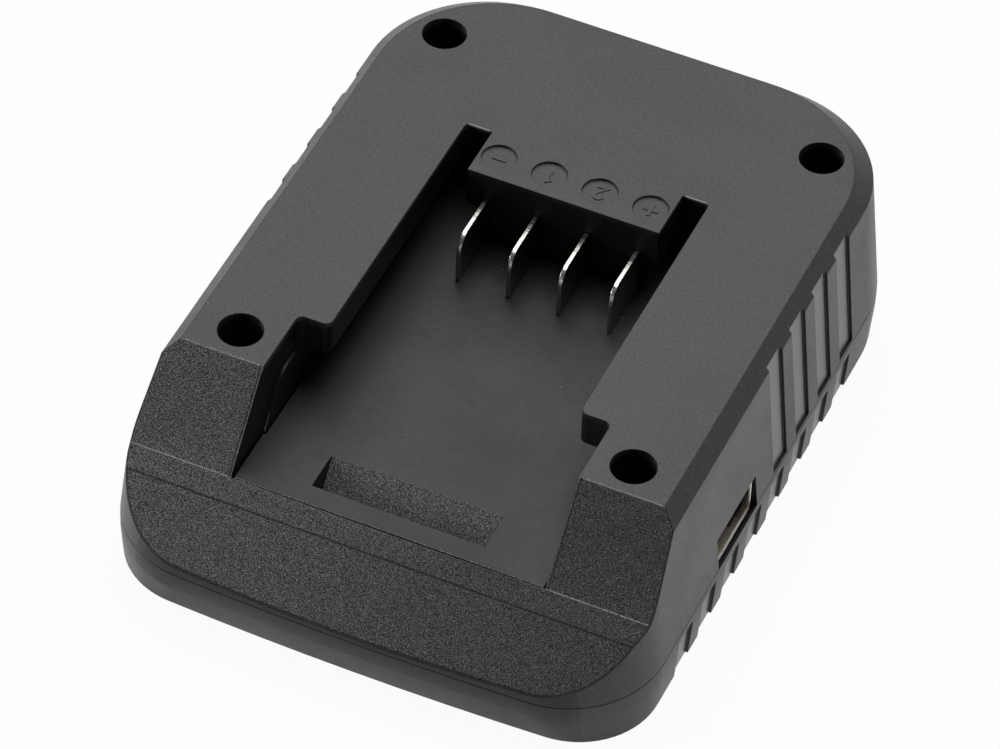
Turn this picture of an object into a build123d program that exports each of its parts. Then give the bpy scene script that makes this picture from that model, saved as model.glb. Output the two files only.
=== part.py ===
from build123d import *
from math import atan2, degrees
import os

# ---------------------------------------------------------------- housing (mm, +Z up, front at -Y)
width = 80.0                 # across the parting line
length = 108.8               # front bow to back wall at the parting line
height = 30.2                # resting face to top plane
wall = 2.2
base_thickness = 2.4
roof_thickness = 2.3

front_bow = 1.4              # how far the front wall bulges over the full width
front_radius = 14.5
back_radius = 20.6
draft = 2.05                 # lean of the walls from parting line to shoulder
chamfer_drop = 2.35          # top chamfer, measured down
chamfer_run = 2.2            # top chamfer, measured inwards

band_height = 2.5            # upright band of the lower cover under the joint
base_side_lean = 0.35        # how far the lower cover leans in below that band
base_front_lean = 1.9
base_back_lean = 1.0
base_front_radius_loss = 2.5
base_back_radius_loss = 0.9

front_y = -length / 2
back_y = length / 2
shoulder_z = height - chamfer_drop

# ---------------------------------------------------------------- board level and joint level
board_standoff = 3.2         # inner floor to the underside of the board
board_thickness = 1.6
joint_rise = 0.9             # parting line above the board's top face
board_under_z = base_thickness + board_standoff
board_top_z = board_under_z + board_thickness
parting_z = board_top_z + joint_rise
fold_z = parting_z - band_height
lean_angle = degrees(atan2(draft, shoulder_z - parting_z))

# ---------------------------------------------------------------- sloped front
brow_back = 22.3             # front wall to the end of the top plane
sill_back = 12.2             # front wall to the end of the channel floor
crease_back = 8.9
channel_depth = 12.5         # top plane to channel floor
crease_drop = 1.5            # channel floor to the crease in the slope
toe_rise = 0.7               # parting line to the foot of the slope
brow_y = front_y + brow_back
sill_y = front_y + sill_back
crease_y = front_y + crease_back
sill_z = height - channel_depth
crease_z = sill_z - crease_drop
toe_z = parting_z + toe_rise

# ---------------------------------------------------------------- battery channel
lip_half = 18.6              # half opening between the lips
lip_thickness = 5.6
groove_half = 22.85          # half width of the undercut groove
entry_half = 23.3            # half width ahead of the lips
entry_length = 20.9
entry_corner_radius = 1.0
lip_corner_radius = 1.2      # front ends of the lips
channel_length = 57.3        # sill to the hood's front face
slot_length = 8.4            # slots beside the hood
slot_corner_radius = 0.6
guide_flat = 5.9             # level part of the raised guide pads
guide_reach = 11.1           # whole length of the pads
guide_bend_radius = 4.0
trough_wall = 1.9
trough_end_wall = 1.8
trough_drop = 1.7            # channel floor to the lower edge of the trough walls
lip_z = height - lip_thickness
entry_back_y = sill_y + entry_length
guide_bend_y = entry_back_y - guide_flat
guide_foot_y = entry_back_y - guide_reach
hood_front_y = sill_y + channel_length
slot_back_y = hood_front_y + slot_length
trough_outer_half = groove_half + trough_wall
trough_bottom_z = sill_z - trough_drop

# ---------------------------------------------------------------- terminal hood
hood_half = 14.6
hood_tall = 6.6
hood_wall = 1.5
hood_length = 12.9
dimple_radius = 2.55
dimple_depth = 0.45
dimple_back = 4.15           # hood face to dimple centres
hood_bottom_z = height - hood_tall
hood_back_y = hood_front_y + hood_length
dimple_y = hood_front_y + dimple_back

# ---------------------------------------------------------------- blades
blade_count = 4
blade_pitch = 7.72
blade_thickness = 0.7
blade_top_drop = 4.7         # top plane to the blades' upper edge
blade_reach = 9.2            # how far the tips stand out of the hood
blade_nose_run = 1.1
blade_nose_drop = 2.1
blade_heel_back = 9.4        # hood face to the blades' back edge
blade_heel_rise = 2.3        # channel floor to the lower edge of the heel
tail_back = 4.9              # hood face to the solder tail
tail_width = 2.4
tail_below_board = 0.6
blade_clearance = 0.05
hood_slot_clearance = 0.15
blade_top_z = height - blade_top_drop
blade_tip_y = hood_front_y - blade_reach
blade_heel_y = hood_front_y + blade_heel_back
tail_front_y = hood_front_y + tail_back
tail_back_y = tail_front_y + tail_width
tail_foot_z = board_under_z - tail_below_board

# ---------------------------------------------------------------- contact carrier
carrier_clearance = 0.2
carrier_front_gap = 0.1
carrier_length = 9.3
carrier_top_gap = 0.9        # roof to the carrier's top
carrier_slot_end = 0.05
carrier_core_width = 4.6
carrier_core_depth = 5.0
carrier_core_margin = 1.2
carrier_chamfer = 0.6
peg_half = 1.2
peg_clearance = 0.05
carrier_front_y = hood_front_y + hood_wall + carrier_front_gap
carrier_back_y = carrier_front_y + carrier_length
carrier_top_z = height - roof_thickness - carrier_top_gap
peg_y = (tail_front_y + tail_back_y) / 2

# ---------------------------------------------------------------- channel floor plate
plate_thickness = 2.2
plate_side_gap = 0.15
plate_entry_gap = 0.25
plate_front_gap = 0.2
plate_step_gap = 0.3
plate_rim_width = 1.5
flange_thickness = 2.0
flange_side_gap = 0.25
flange_front_back = 4.2      # sill to the front end of the side flanges
flange_past_slot = 1.5
pocket_half = 12.85
pocket_back = 3.55           # sill to the front wall of the latch pocket
pocket_length = 6.2
pocket_depth = 4.5
pocket_ramp_run = 3.65
pocket_wall = 1.5
tab_reach = 3.5              # flange edge to the screw
tab_radius = 3.4
tab_back = 5.7               # sill to the front pair of screws
tail_slot_clearance = 0.2
plate_half = groove_half - plate_side_gap
plate_front_y = sill_y + plate_front_gap
plate_under_z = sill_z - plate_thickness
flange_half = trough_outer_half - flange_side_gap
flange_bottom_z = trough_bottom_z - flange_thickness
pocket_front_y = sill_y + pocket_back
pocket_back_y = pocket_front_y + pocket_length
tab_x = flange_half + tab_reach
tab_y = sill_y + tab_back

# ---------------------------------------------------------------- screws and bosses
well_side = 10.84            # side wall to the well axes
well_front = 27.03           # front wall to the front pair
well_rear = 15.24            # back wall to the back pair
well_radius = 3.2
well_boss_radius = 4.4
well_floor = 1.6             # thickness under the screw head
well_hole_radius = 1.7
post_rise = 1.3              # parting line to the tops of the housing posts
post_radius = 3.7
housing_screw_head_radius = 2.8
housing_screw_head_height = 1.9
housing_screw_radius = 1.45
thread_clearance = 0.05
pilot_extra_depth = 0.6
screw_x = width / 2 - well_side
screw_ys = (front_y + well_front, back_y - well_rear)
post_top_z = parting_z + post_rise
well_seat_z = post_top_z + well_floor

floor_screw_radius = 1.2
floor_screw_head_radius = 2.3
floor_screw_head_height = 1.5
floor_screw_length = 6.0
floor_boss_half = 2.8
floor_screw_hole_radius = 1.4

board_screw_radius = 1.2
board_screw_head_radius = 2.2
board_screw_head_height = 1.4
board_screw_hole_radius = 1.4
board_post_half = 2.9

# ---------------------------------------------------------------- cover joint
lip_height = 1.6
lip_width = 0.95
lip_gap = 0.15

# ---------------------------------------------------------------- flutes in the long sides
flute_pitch = 8.1
flute_length = 4.64
flute_depth = 0.44
flute_rear = 26.16           # back wall to the first flute
flute_rise = 0.55            # parting line to the foot of the upper flutes
upper_flute_count = 4
lower_flute_count = 8
lower_flute_shift = 0.9
lower_flute_depth = 0.4
lower_flute_drop = 1.45      # parting line to the tops of the lower flutes
flute_back_y = back_y - flute_rear

# ---------------------------------------------------------------- circuit board
board_gap = 0.96             # to the housing posts
board_front_back = 18.2      # sill to the board's front edge
board_past_hood = 2.0
board_corner_cut = 1.5
board_tab_half = 9.0
board_tab_gap = 0.8          # to the side wall
board_hole_inset = 4.0
board_hole_margin = 3.5
board_rib_half = 12.0
board_rib_width = 1.4
solder_hole_clearance = 0.15
board_half = screw_x - post_radius - board_gap
board_front_y = sill_y + board_front_back
board_back_y = hood_back_y + board_past_hood
board_mid_y = (board_front_y + board_back_y) / 2
board_tab_x = width / 2 - wall - board_tab_gap
board_hole_x = board_half - board_hole_inset
board_hole_ys = (board_front_y + board_hole_margin, board_back_y - board_hole_margin)
board_screw_spots = ((-board_hole_x, board_hole_ys[0]), (board_hole_x, board_hole_ys[1]))

# ---------------------------------------------------------------- USB socket (faces +X)
usb_back = 10.4              # board's front edge to the socket's axis
usb_width = 13.1
usb_tall = 5.7
usb_length = 14.0
usb_recess = 0.95            # side wall to the socket's mouth
usb_sheet = 0.3
usb_side_gap = 0.2
usb_rim_gap = 0.7            # opening above and below the shell
tongue_half = 5.55
tongue_thickness = 1.84
tongue_top_gap = 0.7
tongue_setback = 1.4
tongue_base_length = 2.2
contact_ys = (-3.5, -1.0, 1.0, 3.5)
contact_width = 1.0
contact_thickness = 0.2
contact_setback = 0.8
leg_width = 1.8
leg_setbacks = (4.0, 10.5)
leg_clearance = 0.2
usb_y = board_front_y + usb_back
usb_mouth_x = width / 2 - usb_recess

# ---------------------------------------------------------------- parts on the board, from its middle
inductor_at = (2.0, -11.0)
inductor_half = 6.2
inductor_corner_cut = 2.2
inductor_flange = 1.4
inductor_post_half = 2.6
inductor_gap = 1.5           # to the plate above
winding_margin = 0.9         # flange edge to the outside of the winding
winding_clearance = 0.05
input_cap_at = (-13.5, 3.0)
input_cap_radius = 4.0
input_cap_gap = 1.3          # to the plate above
output_cap_at = (14.5, -19.0)
output_cap_radius = 3.15
output_cap_gap = 2.5
cap_base_height = 1.2
cap_base_margin = 0.15
cap_lead_width = 0.9
fuse_at = (13.5, 9.0)
fuse_length = 7.4
fuse_size = 3.1
fuse_cap_length = 1.5
fuse_cap_extra = 0.2
part_chamfer = 0.25          # on the moulded bodies of the small parts
chip_at = (-14.0, -11.0)
chip_size = (4.9, 3.9, 1.5)
chip_lead_pitch = 1.27
chip_lead_count = 4          # on each side
port_chip_at = (16.5, -8.5)
port_chip_size = (3.0, 1.7, 1.1)
port_chip_lead_pitch = 0.95
port_chip_lead_count = 3
lead_width = 0.42
lead_reach = 1.0
lead_thickness = 0.2
chip_standoff = 0.15
diode_at = (2.0, 4.0)
diode_size = (6.9, 5.9, 2.3)
diode_tab = 1.0
diode_tab_width = 3.0
passive_size = (2.0, 1.25, 0.7)
passive_spots = (
    (-21.0, -15.0), (-21.0, -11.5), (-21.0, -8.0), (-8.0, -17.5), (-11.5, -17.5),
    (-15.0, -17.5), (10.5, -6.0), (13.0, -12.5), (19.5, -12.5), (7.5, -2.5),
)
inductor_top_z = plate_under_z - inductor_gap
input_cap_height = plate_under_z - input_cap_gap - board_top_z
output_cap_height = plate_under_z - output_cap_gap - board_top_z

reach = 2 * (length + width + height)    # longer than anything that is cut
past = 1.0                   # how far a cutting shape runs past the face it opens
weld = 0.3                   # how far joined shapes run into each other


# ---------------------------------------------------------------- helpers
def box(x0, x1, y0, y1, z0, z1):
    size = (x1 - x0, y1 - y0, z1 - z0)
    middle = ((x0 + x1) / 2, (y0 + y1) / 2, (z0 + z1) / 2)
    return Pos(*middle) * Box(*size)


def rod(x, y, z0, z1, radius):
    return Pos(x, y, (z0 + z1) / 2) * Cylinder(radius, z1 - z0)


def post(x, y, z0, z1, half):
    return box(x - half, x + half, y - half, y + half, z0, z1)


def side_prism(points, x0, x1):
    """Extrude a (Y, Z) outline along X."""
    face = make_face(Polyline(*[(0, y, z) for y, z in points], close=True))
    return Pos(x0, 0, 0) * extrude(face, amount=x1 - x0, dir=(1, 0, 0))


def front_prism(points, y0, y1):
    """Extrude an (X, Z) outline along Y."""
    face = make_face(Polyline(*[(x, 0, z) for x, z in points], close=True))
    return Pos(0, y0, 0) * extrude(face, amount=y1 - y0, dir=(0, 1, 0))


def outline(z, half, y0, y1, front_r, back_r, inset=0.0):
    """Rounded plan outline with a bowed front wall."""
    h, f, b = half - inset, y0 + inset, y1 - inset
    rim = [
        ThreePointArc((-h, f + front_bow), (0, f), (h, f + front_bow)),
        Line((h, f + front_bow), (h, b)),
        Line((h, b), (-h, b)),
        Line((-h, b), (-h, f + front_bow)),
    ]
    face = make_face(Curve() + rim)
    face = fillet(face.vertices().sort_by(Axis.Y)[0:2], front_r - inset)
    back_corners = face.vertices().group_by(Axis.Y)[-1]
    face = fillet(back_corners, back_r - inset)
    return Pos(0, 0, z) * face


def parting_outline(z, inset=0.0):
    return outline(z, width / 2, front_y, back_y, front_radius, back_radius, inset)


def shoulder_outline(z, inset=0.0):
    return outline(z, width / 2 - draft, front_y + draft, back_y - draft,
                   front_radius - draft, back_radius - draft, inset)


def roof_outline(z):
    lean = draft + chamfer_run
    return outline(z, width / 2 - lean, front_y + lean, back_y - lean,
                   front_radius - draft, back_radius - draft)


def base_outline(z, front_r, back_r, inset=0.0):
    return outline(z, width / 2 - base_side_lean, front_y + base_front_lean,
                   back_y - base_back_lean, front_r, back_r, inset)


def blade_xs():
    first = -blade_pitch * (blade_count - 1) / 2
    return [first + blade_pitch * i for i in range(blade_count)]


def corners(x, ys):
    return [(side * x, y) for side in (-1, 1) for y in ys]


def both_sides(shape):
    return shape + mirror(shape, about=Plane.YZ)


def screw(head_radius, head_height, shank_radius, shank_length):
    """Head above z = 0, shank below."""
    return rod(0, 0, 0, head_height, head_radius) + rod(0, 0, -shank_length, weld, shank_radius)


def save(shape, name):
    shape.label = name
    export_step(shape, f"parts/{name}.step")


# ---------------------------------------------------------------- top cover
def side_profile():
    slope = (crease_z - toe_z) / crease_back
    far_y = -length
    far_z = toe_z + slope * (far_y - front_y)
    return [(reach, -reach), (reach, height), (brow_y, height), (sill_y, sill_z),
            (crease_y, crease_z), (far_y, far_z), (far_y, -reach)]


def profile_prism(inset=0.0):
    face = make_face(Polyline(*[(0, y, z) for y, z in side_profile()], close=True))
    if inset:
        face = offset(face, amount=-inset)
    return Pos(-width / 2, 0, 0) * extrude(face, amount=width, dir=(1, 0, 0))


def cover_block():
    lower = extrude(parting_outline(parting_z), amount=shoulder_z - parting_z, taper=lean_angle)
    upper = loft([shoulder_outline(shoulder_z), roof_outline(height)], ruled=True)
    return (lower + upper) & profile_prism()


def cover_cavity():
    tall = height - roof_thickness - parting_z
    hollow = extrude(parting_outline(parting_z, wall), amount=tall, taper=lean_angle)
    inset = wall - lip_width - lip_gap
    rebate = extrude(parting_outline(parting_z - lip_height, inset),
                     amount=2 * lip_height + lip_gap)
    return (hollow & profile_prism(wall)) + (rebate & profile_prism(inset))


def channel_trough(block):
    trough = box(-trough_outer_half, trough_outer_half, sill_y - wall,
                 slot_back_y + trough_end_wall, trough_bottom_z, height)
    return trough & block


def channel_void():
    low, high = -past, height + past
    entry = box(-entry_half, entry_half, sill_y, entry_back_y, low, high)
    entry = fillet(entry.edges().filter_by(Axis.Z).sort_by(Axis.Y)[-2:], entry_corner_radius)
    throat = box(-lip_half, lip_half, entry_back_y - past, slot_back_y, low, high)
    throat = fillet(throat.edges().filter_by(Axis.Z).sort_by(Axis.Y)[-2:], slot_corner_radius)
    grooves = box(-groove_half, groove_half, entry_back_y - past, slot_back_y, low, lip_z)
    void = entry + throat + grooves
    upright = void.edges().filter_by(Axis.Z)
    lip_ends = [upright.sort_by_distance((x, entry_back_y, height))[0] for x in (-lip_half, lip_half)]
    return fillet(lip_ends, lip_corner_radius)


def guide_pads():
    points = [(entry_back_y, trough_bottom_z), (entry_back_y, lip_z), (guide_bend_y, lip_z),
              (guide_foot_y, sill_z), (guide_foot_y, trough_bottom_z)]
    pad = side_prism(points, groove_half, entry_half + weld)
    bend = pad.edges().filter_by(Axis.X).sort_by_distance((groove_half, guide_bend_y, lip_z))[0]
    return both_sides(fillet(bend, guide_bend_radius))


def hood_core():
    """Space under the hood for the contact carrier, open to the inside of the cover."""
    inner = hood_half - hood_wall
    roof_z = height - roof_thickness
    core = box(-inner, inner, hood_front_y + hood_wall, hood_back_y + past,
               hood_bottom_z - past, roof_z)
    return core + box(-inner, inner, slot_back_y - past, hood_back_y + past, 0, roof_z)


def hood_cuts():
    """Slots for the blades and the round dimples above them."""
    half = blade_thickness / 2 + hood_slot_clearance
    cuts = []
    for x in blade_xs():
        cuts.append(box(x - half, x + half, hood_front_y - past, hood_front_y + hood_wall + past,
                        hood_bottom_z - past, blade_top_z + hood_slot_clearance))
        cuts.append(rod(x, dimple_y, height - dimple_depth, height + past, dimple_radius))
    return cuts


def upper_flutes():
    lean = draft / (shoulder_z - parting_z)
    foot_z = parting_z + flute_rise
    low_x = width / 2 - lean * flute_rise - flute_depth
    top_z = height + past
    high_x = low_x - lean * (top_z - foot_z)
    far_x = width / 2 + past
    points = [(low_x, foot_z), (far_x, foot_z), (far_x, top_z), (high_x, top_z)]
    backs = [flute_back_y - i * flute_pitch for i in range(upper_flute_count)]
    return [front_prism(points, back - flute_length, back) for back in backs]


def usb_opening():
    half = usb_width / 2 + usb_side_gap
    return box(width / 2 - 3 * wall, width / 2 + past, usb_y - half, usb_y + half,
               board_top_z - usb_rim_gap, board_top_z + usb_tall + usb_rim_gap)


def top_cover():
    block = cover_block()
    roof_z = height - roof_thickness
    hood = box(-hood_half, hood_half, hood_front_y, hood_back_y, hood_bottom_z, height)
    cover = block - cover_cavity() + channel_trough(block)
    cover = cover - channel_void() + guide_pads() + hood - hood_core()

    for x, y in corners(screw_x, screw_ys):
        cover += rod(x, y, post_top_z, roof_z + weld, well_boss_radius)
        cover -= rod(x, y, well_seat_z, height + past, well_radius)
        cover -= rod(x, y, 0, height, well_hole_radius)
    pilot_top = flange_bottom_z + floor_screw_length + pilot_extra_depth
    for x, y in corners(tab_x, (tab_y,)):
        cover += post(x, y, trough_bottom_z, height, floor_boss_half) & block
        cover -= rod(x, y, 0, pilot_top, floor_screw_radius + thread_clearance)
    for cut in hood_cuts():
        cover -= cut
    for cut in upper_flutes():
        cover = cover - cut - mirror(cut, about=Plane.YZ)
    return cover - usb_opening()


# ---------------------------------------------------------------- bottom cover
def lower_flutes():
    top_z = parting_z - lower_flute_drop
    high_x = width / 2 - lower_flute_depth
    low_x = high_x - base_side_lean
    far_x = width / 2 + past
    points = [(high_x, top_z), (low_x, 0), (low_x, -past), (far_x, -past), (far_x, top_z)]
    backs = [flute_back_y - lower_flute_shift - i * flute_pitch for i in range(lower_flute_count)]
    return [front_prism(points, back - flute_length, back) for back in backs]


def joint_lip():
    inset = wall - lip_width
    lip = extrude(parting_outline(parting_z - past, inset), amount=lip_height + past)
    lip -= extrude(parting_outline(parting_z - 2 * past, wall), amount=lip_height + 4 * past)
    return lip & profile_prism(inset)


def bottom_cover():
    band = extrude(parting_outline(fold_z), amount=parting_z - fold_z)
    foot = base_outline(0, front_radius - base_front_radius_loss,
                        back_radius - base_back_radius_loss)
    skirt = loft([foot, parting_outline(fold_z)], ruled=True)
    inner_foot = base_outline(base_thickness, front_radius, back_radius, wall)
    hollow = loft([inner_foot, parting_outline(parting_z + past, wall)], ruled=True)
    cover = band + skirt - hollow + joint_lip()

    for x, y in corners(screw_x, screw_ys):
        cover += rod(x, y, base_thickness - weld, post_top_z, post_radius)
        cover -= rod(x, y, base_thickness, height, housing_screw_radius + thread_clearance)
    for x, y in board_screw_spots:
        cover += post(x, y, base_thickness - weld, board_under_z, board_post_half)
        cover -= rod(x, y, base_thickness, height, board_screw_radius + thread_clearance)
    for y in board_hole_ys:
        cover += box(-board_rib_half, board_rib_half, y - board_rib_width / 2,
                     y + board_rib_width / 2, base_thickness - weld, board_under_z)
    for cut in lower_flutes():
        cover = cover - cut - mirror(cut, about=Plane.YZ)
    return cover - usb_opening()


# ---------------------------------------------------------------- channel floor
def plate_flange():
    """Right-hand rail and screw tab under the trough wall."""
    rim = plate_half - plate_rim_width
    y0 = sill_y + flange_front_back
    y1 = slot_back_y + flange_past_slot
    flange = box(rim, plate_half, y0, y1, flange_bottom_z, plate_under_z + weld)
    flange += box(rim, flange_half, y0, y1, flange_bottom_z, trough_bottom_z)
    flange += box(flange_half - weld, tab_x, tab_y - tab_radius, tab_y + tab_radius,
                  flange_bottom_z, trough_bottom_z)
    flange += rod(tab_x, tab_y, flange_bottom_z, trough_bottom_z, tab_radius)
    return flange - rod(tab_x, tab_y, 0, height, floor_screw_hole_radius)


def latch_pocket():
    """Outer box of the pocket and the space cut out of it."""
    low_z = sill_z - pocket_depth
    shell = box(-pocket_half - pocket_wall, pocket_half + pocket_wall,
                pocket_front_y - pocket_wall, pocket_back_y + pocket_wall,
                low_z - pocket_wall, plate_under_z)
    space = [(pocket_back_y, sill_z), (pocket_back_y - pocket_ramp_run, low_z),
             (pocket_front_y, low_z), (pocket_front_y, height), (pocket_back_y, height)]
    return shell, side_prism(space, -pocket_half, pocket_half)


def ramp_relief():
    """Space under the sloped end of the latch pocket, so that its wall stays thin."""
    slope = pocket_depth / pocket_ramp_run
    low_z = sill_z - 2 * pocket_wall
    rear_y = pocket_back_y + pocket_wall + past
    rear_z = low_z + slope * (rear_y - pocket_back_y)
    front_z = low_z - slope * pocket_length
    points = [(rear_y, rear_z), (rear_y, front_z - past), (pocket_front_y, front_z - past),
              (pocket_front_y, front_z)]
    rim = plate_half - plate_rim_width
    return side_prism(points, -rim, rim) & box(-rim, rim, front_y, back_y, 0, plate_under_z)


def dock_floor():
    plate = box(-plate_half, plate_half, plate_front_y, slot_back_y - plate_side_gap,
                plate_under_z, sill_z)
    tongue = hood_half - hood_wall - carrier_clearance
    plate += box(-tongue, tongue, tail_front_y, hood_back_y, plate_under_z, sill_z)
    wide = entry_half - plate_entry_gap
    plate += box(-wide, wide, plate_front_y, guide_foot_y - plate_step_gap, plate_under_z, sill_z)
    plate += both_sides(plate_flange())

    pocket_shell, pocket_space = latch_pocket()
    plate = plate + pocket_shell - pocket_space - ramp_relief()

    half = blade_thickness / 2 + tail_slot_clearance
    for x in blade_xs():
        plate -= box(x - half, x + half, tail_front_y - tail_slot_clearance,
                     tail_back_y + tail_slot_clearance, 0, height)
    for x in (-blade_pitch, blade_pitch):
        plate -= post(x, peg_y, 0, height, peg_half + peg_clearance)
    return plate


# ---------------------------------------------------------------- contacts
def blade(x):
    heel_z = sill_z + blade_heel_rise
    points = [(blade_tip_y, sill_z), (blade_tip_y, blade_top_z - blade_nose_drop),
              (blade_tip_y + blade_nose_run, blade_top_z), (blade_heel_y, blade_top_z),
              (blade_heel_y, heel_z), (tail_back_y, heel_z), (tail_back_y, tail_foot_z),
              (tail_front_y, tail_foot_z), (tail_front_y, sill_z)]
    return side_prism(points, x - blade_thickness / 2, x + blade_thickness / 2)


def contact_carrier():
    half = hood_half - hood_wall - carrier_clearance
    body = box(-half, half, carrier_front_y, carrier_back_y, sill_z, carrier_top_z)
    body = chamfer(body.edges().filter_by(Axis.X).sort_by(Axis.Z)[-2:], carrier_chamfer)
    gap = blade_thickness / 2 + blade_clearance
    for x in blade_xs():
        body -= box(x - gap, x + gap, carrier_front_y - past, blade_heel_y + carrier_slot_end,
                    sill_z - past, blade_top_z + blade_clearance)
    for x in blade_xs()[:-1]:
        middle = x + blade_pitch / 2
        body -= box(middle - carrier_core_width / 2, middle + carrier_core_width / 2,
                    carrier_back_y - carrier_core_depth, carrier_back_y + past,
                    sill_z + 2 * carrier_core_margin, carrier_top_z - carrier_core_margin)
    for x in (-blade_pitch, blade_pitch):
        body += post(x, peg_y, plate_under_z, sill_z + weld, peg_half)
    return body


# ---------------------------------------------------------------- circuit board
def leg_boxes(clearance=0.0):
    legs = []
    for setback in leg_setbacks:
        x = usb_mouth_x - setback
        for side in (-1, 1):
            y = usb_y + side * (usb_width - usb_sheet) / 2
            legs.append(box(x - leg_width / 2 - clearance, x + leg_width / 2 + clearance,
                            y - usb_sheet / 2 - clearance, y + usb_sheet / 2 + clearance,
                            tail_foot_z, board_top_z + weld))
    return legs


def circuit_board():
    panel = box(-board_half, board_half, board_front_y, board_back_y, board_under_z, board_top_z)
    panel = chamfer(panel.edges().filter_by(Axis.Z), board_corner_cut)
    panel += box(board_half - 2 * board_corner_cut, board_tab_x, usb_y - board_tab_half,
                 usb_y + board_tab_half, board_under_z, board_top_z)
    for x, y in board_screw_spots:
        panel -= rod(x, y, 0, height, board_screw_hole_radius)
    half = blade_thickness / 2 + solder_hole_clearance
    for x in blade_xs():
        panel -= box(x - half, x + half, tail_front_y - solder_hole_clearance,
                     tail_back_y + solder_hole_clearance, 0, height)
    for leg in leg_boxes(leg_clearance):
        panel -= leg
    return panel


# ---------------------------------------------------------------- USB socket
def usb_shell():
    x0, x1 = usb_mouth_x - usb_length, usb_mouth_x
    y0, y1 = usb_y - usb_width / 2, usb_y + usb_width / 2
    z0, z1 = board_top_z, board_top_z + usb_tall
    shell = box(x0, x1, y0, y1, z0, z1)
    shell -= box(x0 + usb_sheet, x1 + past, y0 + usb_sheet, y1 - usb_sheet,
                 z0 + usb_sheet, z1 - usb_sheet)
    for leg in leg_boxes():
        shell += leg
    return shell


def tongue_z():
    top = board_top_z + usb_tall - usb_sheet - tongue_top_gap
    return top - tongue_thickness, top


def usb_tongue():
    low, high = tongue_z()
    back = usb_mouth_x - usb_length + usb_sheet
    inside = usb_width / 2 - usb_sheet
    tongue = box(back + weld, usb_mouth_x - tongue_setback, usb_y - tongue_half,
                 usb_y + tongue_half, low, high)
    base = box(back, back + tongue_base_length, usb_y - inside, usb_y + inside,
               board_top_z + usb_sheet, board_top_z + usb_tall - usb_sheet)
    return tongue + base


def usb_contacts():
    low, _ = tongue_z()
    back = usb_mouth_x - usb_length + usb_sheet + tongue_base_length
    front = usb_mouth_x - tongue_setback - contact_setback
    strips = [box(back, front, usb_y + y - contact_width / 2, usb_y + y + contact_width / 2,
                  low - contact_thickness, low) for y in contact_ys]
    return Compound(children=strips)


# ---------------------------------------------------------------- parts on the board
def on_board(at):
    return at[0], board_mid_y + at[1]


def cut_post(x, y, z0, z1, half):
    block = post(x, y, z0, z1, half)
    return chamfer(block.edges().filter_by(Axis.Z), inductor_corner_cut)


def inductor_core():
    x, y = on_board(inductor_at)
    z0, z1 = board_top_z, inductor_top_z
    core = cut_post(x, y, z0, z0 + inductor_flange, inductor_half)
    core += cut_post(x, y, z1 - inductor_flange, z1, inductor_half)
    return core + post(x, y, z0, z1, inductor_post_half)


def inductor_winding():
    x, y = on_board(inductor_at)
    z0 = board_top_z + inductor_flange + winding_clearance
    z1 = inductor_top_z - inductor_flange - winding_clearance
    coil = cut_post(x, y, z0, z1, inductor_half - winding_margin)
    return coil - post(x, y, z0, z1, inductor_post_half + winding_clearance)


def can_capacitor(at, radius, tall):
    x, y = on_board(at)
    z = board_top_z
    side = radius + cap_base_margin
    base = box(x - side, x + side, y - side, y + side, z, z + cap_base_height)
    base = chamfer(base.edges().filter_by(Axis.Z).sort_by(Axis.X)[-2:], radius / 3)
    can = rod(x, y, z + cap_base_height, z + tall, radius)
    leads = box(x - side - lead_reach, x + side + lead_reach, y - cap_lead_width / 2,
                y + cap_lead_width / 2, z, z + lead_thickness)
    return base + can + leads


def fuse():
    x, y = on_board(fuse_at)
    z = board_top_z + fuse_cap_extra
    body = box(x - fuse_length / 2, x + fuse_length / 2, y - fuse_size / 2, y + fuse_size / 2,
               z, z + fuse_size)
    big = fuse_size / 2 + fuse_cap_extra
    cap = box(x - fuse_length / 2, x - fuse_length / 2 + fuse_cap_length, y - big, y + big,
              board_top_z, board_top_z + 2 * big)
    return body + cap + Pos(fuse_length - fuse_cap_length, 0, 0) * cap


def leaded_chip(at, size, pitch, per_side):
    x, y = on_board(at)
    sx, sy, sz = size
    z = board_top_z + chip_standoff
    body = box(x - sx / 2, x + sx / 2, y - sy / 2, y + sy / 2, z, z + sz)
    body = chamfer(body.edges().group_by(Axis.Z)[-1], part_chamfer)
    first = x - pitch * (per_side - 1) / 2
    for i in range(per_side):
        cx = first + pitch * i
        body += box(cx - lead_width / 2, cx + lead_width / 2, y - sy / 2 - lead_reach,
                    y + sy / 2 + lead_reach, board_top_z, z + lead_thickness)
    return body


def catch_diode():
    x, y = on_board(diode_at)
    sx, sy, sz = diode_size
    z = board_top_z
    body = box(x - sx / 2, x + sx / 2, y - sy / 2, y + sy / 2, z + chip_standoff, z + sz)
    body = chamfer(body.edges().group_by(Axis.Z)[-1], part_chamfer)
    body += box(x - sx / 2 - diode_tab, x + sx / 2 + diode_tab, y - diode_tab_width / 2,
                y + diode_tab_width / 2, z, z + 2 * lead_thickness)
    return body


def board_passives():
    sx, sy, sz = passive_size
    chips = []
    for spot in passive_spots:
        x, y = on_board(spot)
        chips.append(box(x - sx / 2, x + sx / 2, y - sy / 2, y + sy / 2, board_top_z,
                         board_top_z + sz))
    return Compound(children=chips)


# ---------------------------------------------------------------- screws
def screw_group(shape, spots, z):
    return Compound(children=[Pos(x, y, z) * shape for x, y in spots])


def housing_screws():
    one = screw(housing_screw_head_radius, housing_screw_head_height, housing_screw_radius,
                well_seat_z - base_thickness - pilot_extra_depth)
    return screw_group(one, corners(screw_x, screw_ys), well_seat_z)


def floor_screws():
    one = screw(floor_screw_head_radius, floor_screw_head_height, floor_screw_radius,
                floor_screw_length)
    return screw_group(Rot(180, 0, 0) * one, corners(tab_x, (tab_y,)), flange_bottom_z)


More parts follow.
